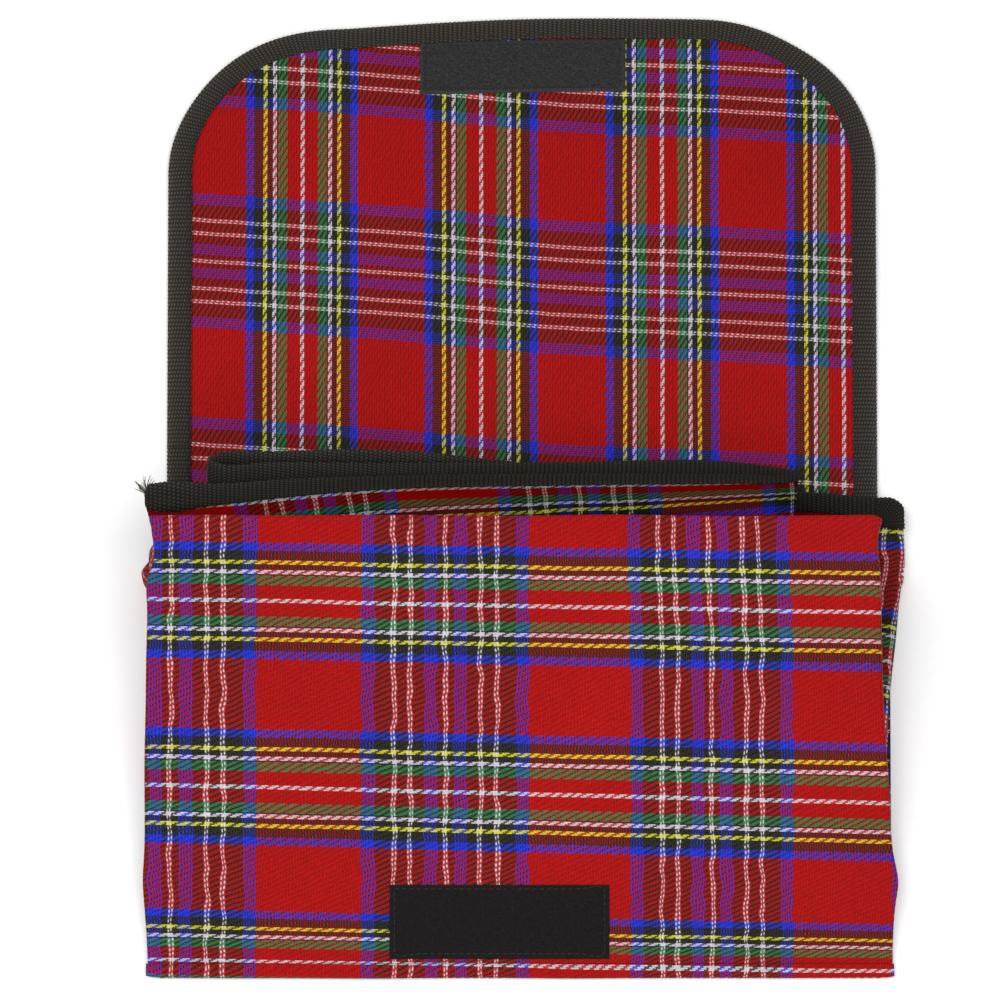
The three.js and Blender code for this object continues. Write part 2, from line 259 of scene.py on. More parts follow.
def along(rows, step):
    """Lines that share their stations, read again at even steps. Rows are stations, each a list
    of points, one for each line."""
    flat = np.array([[value for point in row for value in point] for row in rows], float)
    knots = distances(flat[:, -3:])
    drawn = curve(flat, knots, np.linspace(0, knots[-1], 40 * len(rows)))
    travelled = distances(drawn[:, -3:])
    count = max(2, round(travelled[-1] / step) + 1)
    even = np.linspace(0, travelled[-1], count)
    read = np.stack([np.interp(even, travelled, column) for column in drawn.T], axis=1)
    return read.reshape(count, -1, 3), even


def new_object(name, vertices, faces, materials, uvs=None):
    """A mesh object; uvs holds one pair for each vertex."""
    mesh = bpy.data.meshes.new(name)
    mesh.from_pydata([tuple(v) for v in vertices], [], faces)
    for material in materials:
        mesh.materials.append(material)
    if uvs is not None:
        layer = mesh.uv_layers.new(name=CLOTH_UV)
        for loop in mesh.loops:
            layer.data[loop.index].uv = uvs[loop.vertex_index]
    mesh.polygons.foreach_set("use_smooth", [True] * len(mesh.polygons))
    mesh.update()
    piece = bpy.data.objects.new(name, mesh)
    bpy.context.collection.objects.link(piece)
    return piece


def grid_faces(rows, columns, closed=False):
    """Four-sided faces between neighbouring rows of points."""
    across = columns if closed else columns - 1
    return [
        (r * columns + c, r * columns + (c + 1) % columns,
         (r + 1) * columns + (c + 1) % columns, (r + 1) * columns + c)
        for r in range(rows - 1) for c in range(across)
    ]


def cloth_piece(name, rows, material):
    """A sheet from rows of (point, (fine, coarse)) entries, given its real thickness."""
    points = [point for row in rows for point, _ in row]
    uvs = [uv for row in rows for _, uv in row]
    piece = new_object(name, points, grid_faces(len(rows), len(rows[0])), [material], uvs)
    solid = piece.modifiers.new("thickness", "SOLIDIFY")
    solid.thickness = CLOTH * MM
    solid.offset = 0
    even = piece.modifiers.new("even_shading", "WEIGHTED_NORMAL")
    even.weight = 100
    return piece


def settle(piece, body, slot, *nodes):
    """The piece rides on its body and stands for its CAD nodes. The slot is not used."""
    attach(piece, body)
    if nodes:
        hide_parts(*nodes)


def settle_over_fold(piece, parent, child, fold_y, reach, slot, node, *nodes):
    """The piece keeps its place in the frame, baked into its mesh, and stands for its CAD nodes.
    The two bodies, their fold, `reach` and the slot are not used.
    """
    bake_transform(piece)
    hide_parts(node, *nodes)


def flatten_with_front(piece):
    """The piece gets a mesh of its own."""
    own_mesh(piece)


# ---- Materials ----

def linear(red, green, blue, gain=1.0):
    """A screen colour from 0 to 255 as the renderer's own numbers."""
    def channel(value):
        value /= 255
        return value / 12.92 if value <= 0.04045 else ((value + 0.055) / 1.055) ** 2.4
    return (*(min(channel(value) * gain, 1) for value in (red, green, blue)), 1.0)


class Shader:
    """A material's nodes, with short calls that add one and give its output."""

    def __init__(self, name, roughness=0.8, sheen=0.0, specular=0.3):
        self.material = bpy.data.materials.new(name)
        self.material.use_nodes = True
        self.tree = self.material.node_tree
        self.surface = self.tree.nodes["Principled BSDF"]
        self.surface.inputs["Roughness"].default_value = roughness
        self.surface.inputs["Sheen Weight"].default_value = sheen
        self.surface.inputs["Sheen Roughness"].default_value = 0.5
        self.surface.inputs["Specular IOR Level"].default_value = specular

    def put(self, value, socket):
        """A number, a colour or another node's output goes into a socket."""
        if hasattr(value, "is_output"):
            self.tree.links.new(value, socket)
        else:
            socket.default_value = value

    def math(self, operation, first, second=0.0):
        node = self.tree.nodes.new("ShaderNodeMath")
        node.operation = operation
        self.put(first, node.inputs[0])
        self.put(second, node.inputs[1])
        return node.outputs[0]

    def mix(self, factor, first, second, blend="MIX"):
        node = self.tree.nodes.new("ShaderNodeMix")
        node.data_type = "RGBA"
        node.blend_type = blend
        self.put(factor, node.inputs[0])
        self.put(first, node.inputs[6])
        self.put(second, node.inputs[7])
        return node.outputs[2]

    def yarn_map(self):
        """Millimetres across the two sets of yarns."""
        node = self.tree.nodes.new("ShaderNodeUVMap")
        node.uv_map = CLOTH_UV
        split = self.tree.nodes.new("ShaderNodeSeparateXYZ")
        self.put(node.outputs[0], split.inputs[0])
        return split.outputs[0], split.outputs[1]

    def pair(self, x, y, z=0.0):
        node = self.tree.nodes.new("ShaderNodeCombineXYZ")
        for value, socket in zip((x, y, z), node.inputs):
            self.put(value, socket)
        return node.outputs[0]

    def noise(self, vector, scale, detail=2.0):
        node = self.tree.nodes.new("ShaderNodeTexNoise")
        self.put(vector, node.inputs["Vector"])
        node.inputs["Scale"].default_value = scale
        node.inputs["Detail"].default_value = detail
        return node.outputs[0]

    def random(self, vector):
        node = self.tree.nodes.new("ShaderNodeTexWhiteNoise")
        node.noise_dimensions = "3D"
        self.put(vector, node.inputs["Vector"])
        return node.outputs[0]

    def wrapped(self, value):
        """A count of yarns folded into the four of one repeat, from -2 to 2."""
        result = self.math("WRAP", value, 2.0)
        result.node.inputs[2].default_value = -2.0
        return result

    def clamped(self, value):
        """A value held between 0 and 1."""
        result = self.math("ADD", value, 0.0)
        result.node.use_clamp = True
        return result

    def product(self, first, *others):
        for other in others:
            first = self.math("MULTIPLY", first, other)
        return first

    def tinted(self, colour, strength):
        """A colour made lighter or darker by a plain number."""
        return self.mix(1.0, colour, self.pair(strength, strength, strength), "MULTIPLY")

    def wandered(self, value, place, amount):
        """A value pushed to either side, differently from place to place."""
        push = self.math("SUBTRACT", self.noise(place, 1.0, 1.0), 0.5)
        return self.math("ADD", value, self.product(push, amount))

    def scaled(self, value, low, high):
        """A value from 0 to 1 as one from low to high."""
        return self.math("ADD", self.product(value, high - low), low)

    def bands(self, position, stops):
        """Colour bands without soft edges: (where the band ends, colour)."""
        node = self.tree.nodes.new("ShaderNodeValToRGB")
        node.color_ramp.interpolation = "CONSTANT"
        elements = node.color_ramp.elements
        elements[0].color = stops[0][1]
        elements.remove(elements[1])
        for (start, _), (_, colour) in zip(stops, stops[1:]):
            elements.new(start).color = colour
        self.put(position, node.inputs[0])
        return node.outputs[0]

    def bump(self, height, depth):
        """Relief of `depth` millimetres from a height between 0 and 1."""
        node = self.tree.nodes.new("ShaderNodeBump")
        node.inputs["Distance"].default_value = depth * MM
        self.put(height, node.inputs["Height"])
        self.put(node.outputs[0], self.surface.inputs["Normal"])

    def object_space(self):
        node = self.tree.nodes.new("ShaderNodeTexCoord")
        return node.outputs["Object"]


def hump(shader, value):
    """0 at both ends of 0 to 1, and 1 in the middle."""
    centred = shader.math("SUBTRACT", shader.product(value, 2.0), 1.0)
    return shader.math("SUBTRACT", 1.0, shader.product(centred, centred))


def ribbed(shader, phase, depth):
    """The light over a row of round ribs: dark between them, and 1 on average."""
    return shader.scaled(hump(shader, phase), 1 - depth * 2 / 3, 1 + depth / 3)


def tartan(name, fine_wander, coarse_wander, gain, fine_ribs=0.0, coarse_ribs=0.0, shine=1.0):
    """Two-up two-down twill of dyed yarns, worked out yarn by yarn. The yarns wander by the two
    given widths in millimetres."""
    s = Shader(name, sheen=0.03 * shine, specular=0.08 * shine)
    fine, coarse = s.yarn_map()
    place = s.pair(s.product(fine, 0.09), s.product(coarse, 0.11))
    coarse = s.wandered(coarse, place, coarse_wander)
    place = s.pair(s.product(fine, 0.08), s.product(coarse, 0.03), 7.0)
    fine = s.wandered(fine, place, fine_wander)

    yarns, phases, colours = [], [], []
    for value, pitch, half, offset, sett in (
        (fine, FINE_PITCH, FINE_HALF, 0.0, FINE_SETT),
        (coarse, COARSE_PITCH, COARSE_HALF, 0.5, COARSE_SETT),
    ):
        counted = s.math("DIVIDE", value, pitch)
        yarn = s.math("FLOOR", counted)
        yarns.append(yarn)
        phases.append(s.math("FRACT", counted))
        place = s.math("PINGPONG", s.math("ADD", yarn, offset), float(half))
        stops = [(end / half, linear(*YARNS[colour])) for end, colour in sett]
        colours.append(s.bands(s.math("DIVIDE", place, float(half)), stops))

    step = s.math("FLOORED_MODULO", s.math("ADD", *yarns), TWILL_REPEAT)

    # A coarse yarn shows as a row of long round floats. The fine yarns show everywhere else, in
    # floats that dive under at both ends.
    along_float = s.wrapped(s.math("SUBTRACT", s.math("ADD", step, phases[0]), 3.0))
    along_float = s.math("POWER", s.math("DIVIDE", along_float, FLOAT_HALF_LENGTH), 2.0)
    across_float = s.math("DIVIDE", s.math("SUBTRACT", phases[1], 0.5), FLOAT_HALF_WIDTH)
    across_float = s.math("POWER", across_float, 2.0)
    bead = s.math("SUBTRACT", 1.0, s.math("ADD", along_float, across_float))
    picked = s.clamped(s.product(bead, 8.0))
    dive = s.wrapped(s.math("SUBTRACT", s.math("ADD", step, phases[1]), 1.0))
    dive = s.product(s.math("SUBTRACT", s.math("ABSOLUTE", dive), 0.9), 1.5)
    rounded = s.scaled(hump(s, phases[0]), 0.5, 1.0)
    fine_height = s.product(rounded, s.scaled(s.clamped(dive), 1.0, 0.1))
    coarse_height = s.scaled(s.clamped(bead), 0.25, 1.5)
    height = s.math(
        "ADD",
        s.product(coarse_height, picked),
        s.product(fine_height, s.math("SUBTRACT", 1.0, picked)),
    )

    # Light in the gaps comes off the crossing yarn, so like colours run together and unlike
    # colours stay apart with dark edges.
    own = s.mix(picked, colours[0], colours[1])
    crossing = s.mix(picked, colours[1], colours[0])
    through = s.mix(1.0, crossing, DIMMED, "DARKEN")
    seen = s.mix(SHOW_THROUGH, own, through)
    bounced = s.mix(1.0, crossing, (BOUNCE, BOUNCE, BOUNCE, 1), "MULTIPLY")
    lit = s.mix(s.clamped(height), bounced, (1, 1, 1, 1))
    uneven = s.scaled(s.random(s.pair(yarns[0], yarns[1])), 0.86, 1.1)
    # Tone that differs at random across the cloth.
    wear_and_edge_shade = s.scaled(s.noise(s.object_space(), 22.0, 3.0), 0.86, 1.14)
    pairs = s.math("FRACT", s.math("DIVIDE", fine, 2 * FINE_PITCH))
    ribs = s.product(ribbed(s, pairs, fine_ribs), ribbed(s, phases[1], coarse_ribs))
    lit = s.tinted(lit, s.product(uneven, wear_and_edge_shade, gain, ribs))
    s.put(s.mix(1.0, seen, lit, "MULTIPLY"), s.surface.inputs["Base Color"])
    # Shine differs from one coarse yarn to the next, by its place in the sett.
    s.put(s.scaled(s.noise(place, 6.0), 0.62, 0.85), s.surface.inputs["Roughness"])
    s.bump(height, 0.16)
    return s.material


def webbing(name, colour, gain, shine):
    """Ribbed binding tape: rows of small knots across, shifted by half on every other rib."""
    s = Shader(name, roughness=0.7, sheen=0.02 * shine, specular=0.2 * shine)
    lengthwise, across = s.yarn_map()
    ribs = s.math("DIVIDE", lengthwise, RIB)
    rib = s.math("FLOOR", ribs)
    knots = s.math("ADD", s.math("DIVIDE", across, KNOT), s.product(rib, 0.5))
    knots = s.math("ADD", knots, s.product(ribs, KNOT_SLANT))
    bead = hump(s, s.math("FRACT", knots))
    ridge = hump(s, s.math("FRACT", ribs))
    fibres = s.noise(s.pair(lengthwise, across), 2.6, 3.0)
    height = s.product(bead, ridge, s.scaled(fibres, 0.4, 1.5))
    # Painted shade and highlight: the colour runs from dark in the gaps between knots and ribs to
    # light on their tops.
    dark = linear(*colour, 0.25 * gain)
    light = linear(*colour, 2.0 * gain)
    # Painted shade and highlight: the tape is darker over most of its width and brightest along
    # its outer fold.
    outwards = s.math("DIVIDE", s.math("PINGPONG", across, TAPE), TAPE)
    wear_and_edge_shade = s.scaled(s.math("POWER", outwards, 5.0), 0.8, 1.6)
    s.put(s.tinted(s.mix(height, dark, light), wear_and_edge_shade), s.surface.inputs["Base Color"])
    s.put(s.scaled(fibres, 0.55, 0.85), s.surface.inputs["Roughness"])
    s.bump(height, 0.3)
    return s.material


def fuzzy(name, colour, streak, spread):
    """Hook or loop tape: matt, with fine streaks and lint."""
    s = Shader(name, roughness=0.95, sheen=0.04, specular=0.05)
    x, y = s.yarn_map()
    streaks = s.noise(s.pair(s.product(x, streak), s.product(y, 0.35)), 1.0, 3.0)
    lint = s.noise(s.object_space(), 900.0)
    shade = s.product(s.scaled(streaks, 1 - spread, 1 + spread), s.scaled(lint, 0.6, 1.4))
    s.put(s.tinted(linear(*colour), shade), s.surface.inputs["Base Color"])
    s.put(s.scaled(lint, 0.85, 1.0), s.surface.inputs["Roughness"])
    s.bump(streaks, 0.25)
    return s.material


def thread(name, colour):
    """Twisted sewing thread."""
    s = Shader(name, roughness=0.55, sheen=0.1)
    twist = s.tree.nodes.new("ShaderNodeTexWave")
    twist.inputs["Scale"].default_value = 900.0
    twist.inputs["Distortion"].default_value = 0.6
    s.put(s.object_space(), twist.inputs["Vector"])
    shade = s.scaled(twist.outputs["Fac"], 0.65, 1.25)
    s.put(s.tinted(linear(*colour), shade), s.surface.inputs["Base Color"])
    s.put(s.scaled(twist.outputs["Fac"], 0.45, 0.7), s.surface.inputs["Roughness"])
    s.bump(twist.outputs["Fac"], 0.08)
    return s.material


def paper():
    """The pale floor."""
    s = Shader("pale_paper", roughness=0.9, specular=0.1)
    grain = s.noise(s.object_space(), 400.0)
    tone = s.mix(grain, (0.93, 0.93, 0.93, 1), (0.96, 0.96, 0.96, 1))
    s.put(tone, s.surface.inputs["Base Color"])
    s.put(s.scaled(grain, 0.85, 0.95), s.surface.inputs["Roughness"])
    return s.material


# ---- Camera, light and floor ----

ELEVATION = 61.0  # degrees that the camera looks down
VIEW_WIDTH = 416.7  # seen across the picture
VIEW_CENTRE = (-9.2, 228.0, 0.0)
VIEW_DISTANCE = 17.0  # metres, so that the picture has hardly any perspective
SENSOR = 36
AMBIENT = 0.32
LAMPS = [  # name, place and size in metres, power
    ("key_light", (0.42, -1.0, 1.5), 1.7, 31.0),
    ("fill_light", (-0.85, -0.2, 1.35), 1.7, 18.0),
]
FLOOR_HALF = 3.0  # metres
FLOOR_DROP = 0.0003  # metres, so that the floor stays clear of the cloth's lowest faces


def add_camera():
    data = bpy.data.cameras.new("camera")
    data.sensor_width = SENSOR
    data.lens = SENSOR * VIEW_DISTANCE / (VIEW_WIDTH * MM)
    data.clip_end = 3 * VIEW_DISTANCE
    camera = bpy.data.objects.new("camera", data)
    bpy.context.collection.objects.link(camera)
    tilt = math.radians(ELEVATION)
    towards = Vector((0, -math.cos(tilt), math.sin(tilt)))
    camera.location = at(*VIEW_CENTRE) + towards * VIEW_DISTANCE
    camera.rotation_euler = towards.to_track_quat("Z", "Y").to_euler()
    bpy.context.scene.camera = camera


def add_light(name, place, size, power):
    data = bpy.data.lights.new(name, "AREA")
    data.energy = power
    data.size = size
    lamp = bpy.data.objects.new(name, data)
    bpy.context.collection.objects.link(lamp)
    lamp.location = place
    lamp.rotation_euler = Vector(place).to_track_quat("Z", "Y").to_euler()


def add_studio():
    world = bpy.data.worlds.new("studio")
    world.use_nodes = True
    background = world.node_tree.nodes["Background"]
    background.inputs["Color"].default_value = (1, 1, 1, 1)
    background.inputs["Strength"].default_value = AMBIENT
    bpy.context.scene.world = world
    for lamp in LAMPS:
        add_light(*lamp)
    bpy.context.scene.view_settings.view_transform = "Standard"
    signs = ((-1, -1), (1, -1), (1, 1), (-1, 1))
    corners = [(x * FLOOR_HALF, y * FLOOR_HALF, 0) for x, y in signs]
    floor = new_object("floor", corners, [(0, 1, 2, 3)], [paper()])
    floor.location.z = -FLOOR_DROP


# ---- Cloth of the back, flap and front ----

def flap_shift(x, y):
    """How far the flap's far part is drawn down by its crowned, uneven far edge."""
    peak, fall = FLAP_PEAK
    fuller = FULLER_LEFT * ease(-x, 70, 134) + FULLER_RIGHT * ease(x, 110, 140)
    return ease(y, BEND_Y + 60, FLAP_FAR) * (fuller - fall * (x - peak) ** 2)


def lift(x, y):
    """The open flap isn't quite flat: it stands a little off what it lies on."""
    wave = 0.5 + 0.5 * ripple(x, y, 62, 4.2)
    return FLAP_LIFT * wave * ease(y, BEND_Y, BEND_Y + 30)


def back_half_width(y):
    """Half of the back cloth's width, which narrows to the flap's above the mouth."""
    wide = BACK_HIGH.x / MM
    narrow = FLAP_SIDE - SEAM_UNDER_TAPE
    return wide + (narrow - wide) * ease(y, MOUTH_Y - 20, MOUTH_Y - 9)


def back_height(y):
    """The back rests on the table and rises to the height of the flap's fold."""
    return CLOTH + (FOLD_Z - CLOTH) * ease(y, MOUTH_Y - 16, MOUTH_Y - 5)


def flap_yarns(x, y):
    """Where a point of the flap or the back lies in the tartan. The coarse yarns run askew."""
    middle = 331.7 - 0.072 * x - 2.1 * math.exp(-((x - 20) / 50) ** 2)
    down = middle - y
    drawn = 1.043 * (1 + 0.075 * math.exp(-(down / 45) ** 2))
    return ((x + 17.3) * 1.041 - 0.9 * ease(-x, 50, 90), down * drawn)


def make_back(material):
    rows = []
    for y in np.arange(3.0, SPLICE_Y + 0.1, 3.0).tolist() + [SPLICE_Y]:
        half = back_half_width(y)
        rows.append([
            (at(x, y, back_height(y)), flap_yarns(x, y)) for x in np.linspace(-half, half, 90)
        ])
    piece = cloth_piece("back_cloth", rows, material)
    settle_over_fold(piece, "pocket", "spine", MOUTH_Y, 3, "tartan", "back_panel", "flap_spine")


def flap_corner(inset, count):
    """Points round the flap's right far corner, `inset` inside the outer edge."""
    side, far, radius = (length - inset for length in (FLAP_SIDE, FLAP_FAR, FLAP_CORNER))
    turns = np.linspace(0, math.pi / 2, count)
    return [
        (side - radius + radius * math.cos(turn), far - radius + radius * math.sin(turn))
        for turn in turns
    ]


def make_flap_cloth(material):
    side = FLAP_SIDE - SEAM_UNDER_TAPE
    corner = flap_corner(SEAM_UNDER_TAPE, 26)
    halves = [(side, y) for y in np.linspace(SPLICE_Y, corner[0][1], 60)] + corner[1:]
    rows = []
    for half, y in halves:
        row = []
        for x in np.linspace(-half, half, 110):
            moved = y + flap_shift(x, y)
            row.append((at(x, moved, FOLD_Z + lift(x, moved)), flap_yarns(x, moved)))
        rows.append(row)
    piece = cloth_piece("flap_cloth", rows, material)
    settle_over_fold(piece, "spine", "flap", BEND_Y, 5, "tartan", "flap_panel")


def front_place(x, down, out, ahead=0.0):
    """A point of the front: `down` from the crease along the cloth, `out` off its line."""
    share = 1 - down / FRONT_LENGTH
    sag = FRONT_SAG * math.sin(math.pi * max(share, 0) ** 0.7)
    out = out - sag + front_ripple(x, down)
    reach = FRONT_LENGTH - down + ahead
    y = HINGE_Y + reach * math.cos(FRONT_RISE) - out * math.sin(FRONT_RISE)
    z = HINGE_Z + reach * math.sin(FRONT_RISE) + out * math.cos(FRONT_RISE)
    return at(x, y, z)


def front_ripple(x, down):
    """Shallow waves of the front's cloth, fading towards the seam at its foot."""
    calm = ease(FRONT_LENGTH - down, 2, 60)
    return calm * (0.75 * ripple(x, down, 48, 1.3) + 0.2 * ripple(x, down, 17, 5.1))


def front_yarns(x, down):
    """Where a point of the front lies in the tartan; its right side is pulled a little askew."""
    first = 36.5 + 0.019 * x
    repeat = 79.4 + 0.0062 * x
    low_down = max(down - first - repeat, 0) / repeat
    gathered = (8.7 + 0.029 * x + 0.00005 * x * x) * low_down ** 3
    from_middle = x + 31.8 + 1.9 * ease(x, 20, 60) * ease(down, 60, 5)
    return (
        (down - first + gathered) / repeat * 2 * FINE_HALF * FINE_PITCH,
        from_middle * (1.009 + 0.00014 * from_middle),
    )


def edge_at(edge, down):
    return float(curve([[x] for _, x in edge], [d for d, _ in edge], [max(down, 0)])[0, 0])


def front_columns(left, right):
    """x across the front with closer columns at both edges, and how far each one turns under."""
    near = [0.0, 0.15, 0.6, 1.4, 2.6]
    turned = [-2.4, -1.3, -0.5, -0.12, 0.0]
    middle = np.linspace(left + 5, right - 5, 108)
    columns = [(left + d, t) for d, t in zip(near, turned)]
    columns += [(x, 0.0) for x in middle]
    return columns + [(right - d, t) for d, t in zip(reversed(near), reversed(turned))]


def make_front(material):
    rows = []
    for down in np.arange(FRONT_LENGTH - 0.6, 0.5, -2.2):
        columns = front_columns(edge_at(FRONT_LEFT, down), edge_at(FRONT_RIGHT, down))
        tuck = 0.2 + 0.8 * ease(FRONT_LENGTH - down, 20, 120)
        row = [(front_place(x, down, tuck * out), front_yarns(x, down)) for x, out in columns]
        rows.append(row)
    top = front_columns(edge_at(FRONT_LEFT, 0), edge_at(FRONT_RIGHT, 0))
    for turn in np.linspace(0, math.pi, 7):
        travelled = -turn * CREASE_ROUND
        row = []
        for x, under in top:
            wave = 0.7 * ripple(x, 0, 70, 2.7)
            corner = 1.6 * ease(abs(x - 149.8), 6, 0) ** 2
            ahead = CREASE_ROUND * math.sin(turn) + wave - corner
            out = CREASE_ROUND * (math.cos(turn) - 1) + 0.4 * under
            row.append((front_place(x, 0, out, ahead), front_yarns(x, travelled)))
        rows.append(row)
    for hem in np.linspace(3, HEM, 6):
        rows.append([
            (front_place(x * 0.988, hem, -2 * CREASE_ROUND - 0.1),
             front_yarns(x, -math.pi * CREASE_ROUND - hem))
            for x, _ in top
        ])
    piece = cloth_piece("front_cloth", rows, material)
    settle(piece, "front", "tartan", "front_panel")


def make_bottom_fold(material):
    """The cloth's turn from the front to the back, along the bottom seam."""
    rows = []
    half_depth = 1.3
    for step, turn in enumerate(np.linspace(-0.1, 1.0, 12)):
        angle = math.pi * max(turn, 0)
        y = HINGE_Y - 0.6 - 4.9 * math.sin(angle) ** 0.8 if turn >= 0 else HINGE_Y + 0.2
        z = 0.4 + half_depth * (1 + math.cos(angle))
        row = []
        for x in np.linspace(-155.8, 154.0, 110):
            ends = 1 - 0.15 * ease(abs(x), 151, 156)
            wave = 0.35 * ripple(x, y, 40, 8.4) * math.sin(angle)
            point = at(x, HINGE_Y + (y - HINGE_Y) * ends + wave, z)
            row.append((point, front_yarns(x, FRONT_LENGTH - 0.4 + 0.9 * step)))
        rows.append(row)
    piece = cloth_piece("bottom_fold", rows, material)
    settle(piece, "pocket", "tartan", "bottom_seam")


# ---- Side walls and mouth ----

WALL_DROP = 4.4  # how far the walls' heads stay below the front's line
WALL_END = (184, 196)  # the walls' heads come down between these places
RIGHT_FOLD = [(20, 149.5), (127, 152.4), (151, 154.2), (176, 156.6), (192, 158.8), (215, 158.6)]


def wall_head(y, low):
    """Height of a wall's head: under the front, then down to `low` beyond the crease."""
    run = min(y, from_seam(FRONT_HIGH.y)) - HINGE_Y
    head = max(HINGE_Z + run * math.tan(FRONT_RISE) - WALL_DROP, 5.0)
    if y > WALL_END[0]:
        head = low + (head - low) * ease(y, WALL_END[1], WALL_END[0])
    return head


def make_gusset(name, material, profile, first, last, anchor, node):
    """A side wall: profile(y) gives its line from foot to head, as (x, z) points. The anchor is
    where the line's numbered point lies among both sets of yarns."""
    rows = []
    for y in np.arange(first, last + 0.1, 2.5):
        line = np.array([(x, 0, z) for x, z in profile(y)])
        lengths = distances(line)
        wanted = np.linspace(0, lengths[-1], 22)
        drawn = curve(line, lengths, wanted)
        fold = lengths[anchor[2]]
        row = []
        for (x, _, z), travelled in zip(drawn, wanted):
            wave = 0.25 * ripple(y, z, 24, 3.3)
            yarns = (anchor[0] - y, anchor[1] - (travelled - fold))
            row.append((at(x + wave, y, max(z, CLOTH)), yarns))
        rows.append(row)
    piece = cloth_piece(name, rows, material)
    settle(piece, "pocket", "tartan", node)
    flatten_with_front(piece)
    return piece


def right_wall(y):
    """The right wall lies folded flat outside the pocket before it climbs to the front's edge."""
    fold = edge_at(RIGHT_FOLD, y)
    head = wall_head(y, 7.0)
    room = min(1.0, head / 12)
    return [
        (fold - 8, 1.6 * room), (fold - 3, 1.8 * room), (fold, 3.6 * room), (fold - 3, 5.6 * room),
        (fold - 9, 6.6 * room), (fold - 12, 9.0 * room), (147.5, max(head, 9.4 * room)),
    ]


def left_wall(y):
    """The left wall stays behind the front's edge, apart from one corner that pokes out."""
    head = wall_head(y, 9.0)
    poke = 3.6 * math.exp(-((y - 176) / 2.6) ** 2)
    return [
        (-149, 1.6), (-152.5 - 0.2 * poke, head * 0.25), (-154.6 - poke, head * 0.6),
        (-151.5, head * 0.85), (-149.5, head),
    ]


def mouth_rows():
    """Stations of the mouth as points: deep inside, fold, cloth's edge and tape's outer edge."""
    rows = []
    for x, fold, edge, outer, deep in MOUTH:
        rows.append([
            (x * 0.96, MOUTH_DEPTH_Y, deep), (x * 0.99, *fold), (x, *edge), (x, *outer),
        ])
    return rows


def make_mouth_cloth(material):
    """One piece of spare cloth in three pleats, continuous round both turns."""
    lines, travelled = along(mouth_rows(), 2.4)
    rows = []
    for number, (deep, fold, edge, outer) in enumerate(lines):
        x = edge[0]
        # The cloth's white line runs just under the tape and slips behind it at both ends.
        hidden = -0.25 + 1.2 * ease(-x, 110, 135) + 1.7 * ease(x, 60, 108)
        wave = np.array([0, 0.3, 0.5]) * ripple(travelled[number], x, 30, 6.6)
        bend = fold + wave
        inside_tape = edge + 0.5 * (outer - edge)
        stations = np.array([deep, fold + 0.4 * (deep - fold), bend, edge, inside_tape])
        lengths = distances(stations)
        wanted = np.linspace(0, lengths[-1], 26)
        row = []
        for point, place in zip(curve(stations, lengths, wanted), wanted):
            below = lengths[3] - place
            yarns = (below + hidden, (travelled[number] - 72.6) * 1.027 - 0.06 * below)
            row.append((at(*point), yarns))
        rows.append(row)
    piece = cloth_piece("mouth_cloth", rows, material)
    settle(piece, "pocket", "tartan", "front_pleat", "middle_pleat", "back_pleat")
    flatten_with_front(piece)


# ---- Binding tape ----

INNER_POINTS = 6  # of a tape's section


def tape_section(half):
    """The folded tape's closed section: (share of the width, height), outside then inside."""
    inner = half - TAPE_WALL
    outside = [(0, 0.8), (0.3, 1), (0.6, 1), (0.84, 0.9), (0.96, 0.55), (1, 0)]
    outline = [(u, v * half) for u, v in outside] + [(u, -v * half) for u, v in outside[-2::-1]]
    slot = [(0, -inner * 0.8), (0.6, -inner), (0.9, -inner * 0.6)]
    return outline + slot + [(u, -v) for u, v in reversed(slot)]


def make_tape(name, stations, half, material):
    """Tape folded over an edge: stations are (inner edge, outer edge) in millimetres."""
    lines, travelled = along(stations, RIB / 2)
    section = tape_section(half)
    outside = len(section) - INNER_POINTS
    forward = np.gradient(lines.mean(axis=1), axis=0)
    vertices, uvs = [], []
    for (inner, outer), ahead, place in zip(lines, forward, travelled):
        out = outer - inner
        up = np.cross(out, ahead)
        up /= np.linalg.norm(up)
        rib = math.cos(2 * math.pi * place / RIB)
        for number, (share, height) in enumerate(section):
            swell = RIB_RISE * rib if number < outside else 0.0
            point = inner + out * share + up * (height + math.copysign(swell, height))
            point += out / np.linalg.norm(out) * (swell * 1.2 if share > 0.9 else 0)
            vertices.append(at(*point))
            uvs.append((place + RIB / 2, TAPE * (share if height >= 0 else 2 - share)))
    faces = grid_faces(len(lines), len(section), closed=True)
    last = (len(lines) - 1) * len(section)
    faces.append(tuple(range(len(section) - 1, -1, -1)))
    faces.append(tuple(range(last, last + len(section))))
    piece = new_object(name, vertices, faces, [material], uvs)
    for cap in piece.data.polygons[-2:]:
        cap.use_smooth = False
    return piece


def flap_outline(inset):
    """The flap's edge from its right side round to its left, `inset` inside the outer edge."""
    corner = flap_corner(inset, 24)
    points = [(FLAP_SIDE - inset, y) for y in np.arange(SPLICE_Y, corner[0][1], 4.0)] + corner
    points += [(x, FLAP_FAR - inset) for x in np.linspace(corner[-1][0], 0, 24)[1:-1]]
    points += [(-x, y) for x, y in reversed(points)]
    return points


def on_flap(x, y):
    moved = y + flap_shift(x, y)
    return (x, moved, FOLD_Z + lift(x, moved))


def make_flap_tape(material):
    inner, outer = flap_outline(TAPE), flap_outline(0)
    stations = [(on_flap(*a), on_flap(*b)) for a, b in zip(inner, outer)]
    piece = make_tape("flap_tape", stations, TAPE_HALF - RIB_RISE, material)
    settle_over_fold(piece, "spine", "flap", BEND_Y, 4, "webbing", "flap_binding")


